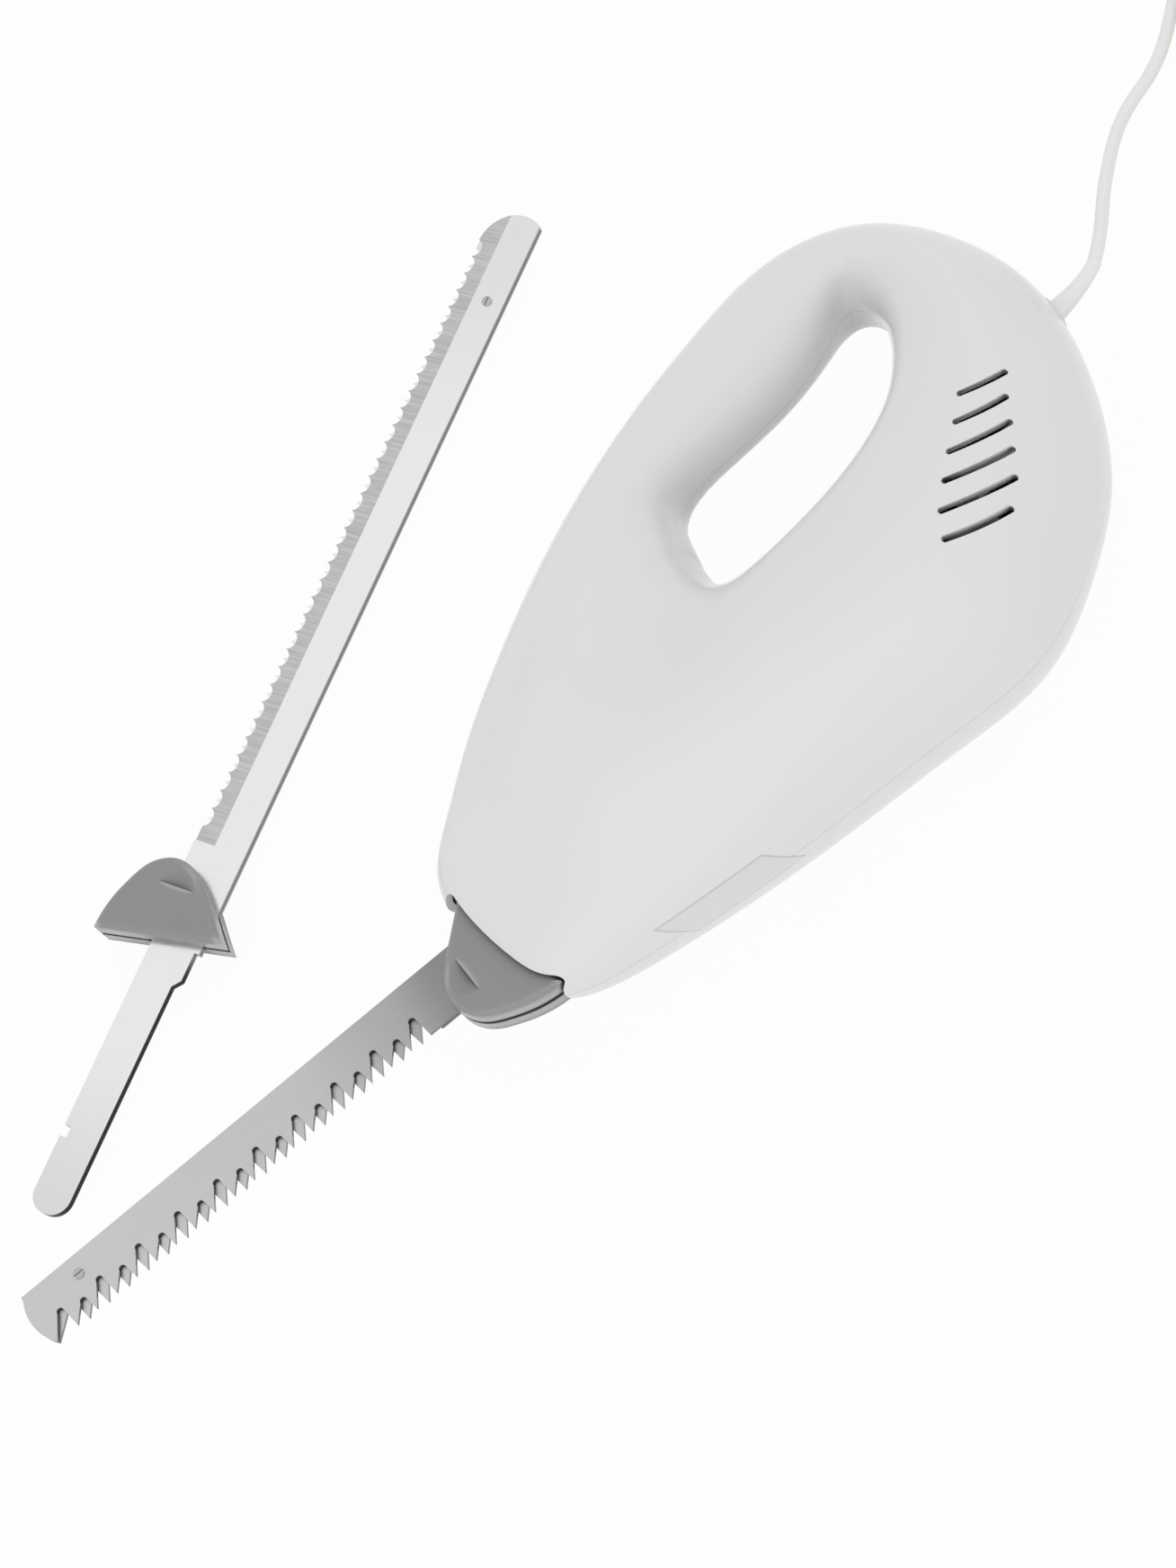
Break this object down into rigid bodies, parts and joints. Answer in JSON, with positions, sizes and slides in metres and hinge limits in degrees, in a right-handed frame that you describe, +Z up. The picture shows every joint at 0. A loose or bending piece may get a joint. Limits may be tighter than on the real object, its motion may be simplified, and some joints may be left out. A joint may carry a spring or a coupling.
{
  "type": "electric carving knife",
  "caption": "Electric carving knife with a loop-handled two-half housing, a mounted coarse blade pair driven by a worm motor and crank, and a spare scalloped blade pair.",
  "frame": {"origin": "centre of the small flat on the right flank that the knife lies on, at table height", "axes": "+X along the knife from the blade tip to the cord, +Y from the cutting side to the grip, +Z up from the table"},
  "size_m": [0.5619, 0.2474, 0.0797],
  "materials": {
    "white_plastic": "gloss",
    "grey_plastic": "satin",
    "blade_steel": "satin",
    "spare_steel": "polished",
    "spring_steel": "satin",
    "machine_steel": "turned",
    "lamination": "dull",
    "copper": "enamelled",
    "carbon": "dull",
    "brass": "satin",
    "pressed_aluminium": "cast",
    "gear_nylon": "satin",
    "dark_plastic": "satin",
    "cord_white": "satin",
    "tie_black": "satin",
    "pin_nickel": "plated"
  },
  "bodies": {
    "housing": {"left_shell": "white_plastic", "right_shell": "white_plastic", "housing_screws": "machine_steel", "slide_guide": "gear_nylon", "gear_axle": "machine_steel", "stator_core": "lamination", "field_coils": "copper", "front_bearing": "machine_steel", "rear_bearing": "machine_steel", "front_bracket": "pressed_aluminium", "rear_bracket": "pressed_aluminium", "motor_screws": "machine_steel", "carbon_brushes": "carbon", "brush_holders": "brass", "brush_springs": "spring_steel", "switch_body": "dark_plastic", "cord_sleeve": "cord_white", "cord_clamp": "dark_plastic", "power_cord": "cord_white", "cord_coil": "cord_white", "cord_tie": "tie_black", "plug_body": "cord_white", "plug_pins": "pin_nickel"},
    "armature": {"motor_shaft": "machine_steel", "worm": "machine_steel", "armature_core": "lamination", "armature_windings": "copper", "commutator": "copper", "cooling_fan": "dark_plastic"},
    "crank_wheel": {"worm_wheel": "gear_nylon"},
    "left_drive": {"left_carrier": "gear_nylon", "left_latch": "spring_steel"},
    "right_drive": {"right_carrier": "gear_nylon", "right_latch": "spring_steel"},
    "left_cutter": {"left_blade": "blade_steel", "left_guard": "grey_plastic", "tip_rivet": "blade_steel"},
    "right_cutter": {"right_blade": "blade_steel", "right_guard": "grey_plastic"},
    "power_button": {"power_button": "white_plastic", "button_spring": "spring_steel"},
    "release_button": {"release_button": "white_plastic", "release_spring": "spring_steel"},
    "spare_left": {"spare_left_blade": "spare_steel", "spare_left_guard": "grey_plastic", "spare_tip_rivet": "spare_steel"},
    "spare_right": {"spare_right_blade": "spare_steel", "spare_right_guard": "grey_plastic"}
  },
  "joints": [
    {"name": "armature_spin", "type": "hinge", "parent": "housing", "child": "armature", "pos_m": [-0.022, 0.0085, 0.0395], "axis": [1, 0, 0], "range_deg": [-2700, 2700]},
    {"name": "crank_wheel_turn", "type": "hinge", "parent": "housing", "child": "crank_wheel", "pos_m": [-0.022, -0.011, 0.0395], "axis": [0, 0, 1], "range_deg": [-90.5, 90.5]},
    {"name": "left_drive_stroke", "type": "slide", "parent": "housing", "child": "left_drive", "axis": [1, 0, 0], "range_m": [-0.004, 0.004]},
    {"name": "right_drive_stroke", "type": "slide", "parent": "housing", "child": "right_drive", "axis": [1, 0, 0], "range_m": [-0.004, 0.004]},
    {"name": "left_blade_pull", "type": "slide", "parent": "left_drive", "child": "left_cutter", "axis": [-1, 0, 0], "range_m": [0, 0.1]},
    {"name": "right_blade_pull", "type": "slide", "parent": "right_drive", "child": "right_cutter", "axis": [-1, 0, 0], "range_m": [0, 0.1]},
    {"name": "power_button_press", "type": "slide", "parent": "housing", "child": "power_button", "axis": [0.2419, -0.9703, 0], "range_m": [0, 0.0025], "stiffness_N_per_m": 900, "springref_m": -0.001},
    {"name": "release_button_press", "type": "slide", "parent": "housing", "child": "release_button", "axis": [0, 0, 1], "range_m": [0, 0.003], "stiffness_N_per_m": 700, "springref_m": -0.001},
    {"name": "spare_pair_lift", "type": "slide", "parent": "housing", "child": "spare_left", "axis": [0, 0, 1], "range_m": [0, 0.12]},
    {"name": "spare_blade_stroke", "type": "slide", "parent": "spare_left", "child": "spare_right", "axis": [-0.8729, -0.4879, 0], "range_m": [-0.0079, 0.0079]}
  ],
  "couplings": [
    {"joint": "crank_wheel_turn", "follows": "armature_spin", "ratio": 0.033333},
    {"joint": "left_drive_stroke", "follows": "armature_spin", "m_per_rad": -0.000084583},
    {"joint": "right_drive_stroke", "follows": "armature_spin", "m_per_rad": 0.000084583},
    {"joint": "right_blade_pull", "follows": "left_blade_pull", "ratio": 1}
  ]
}
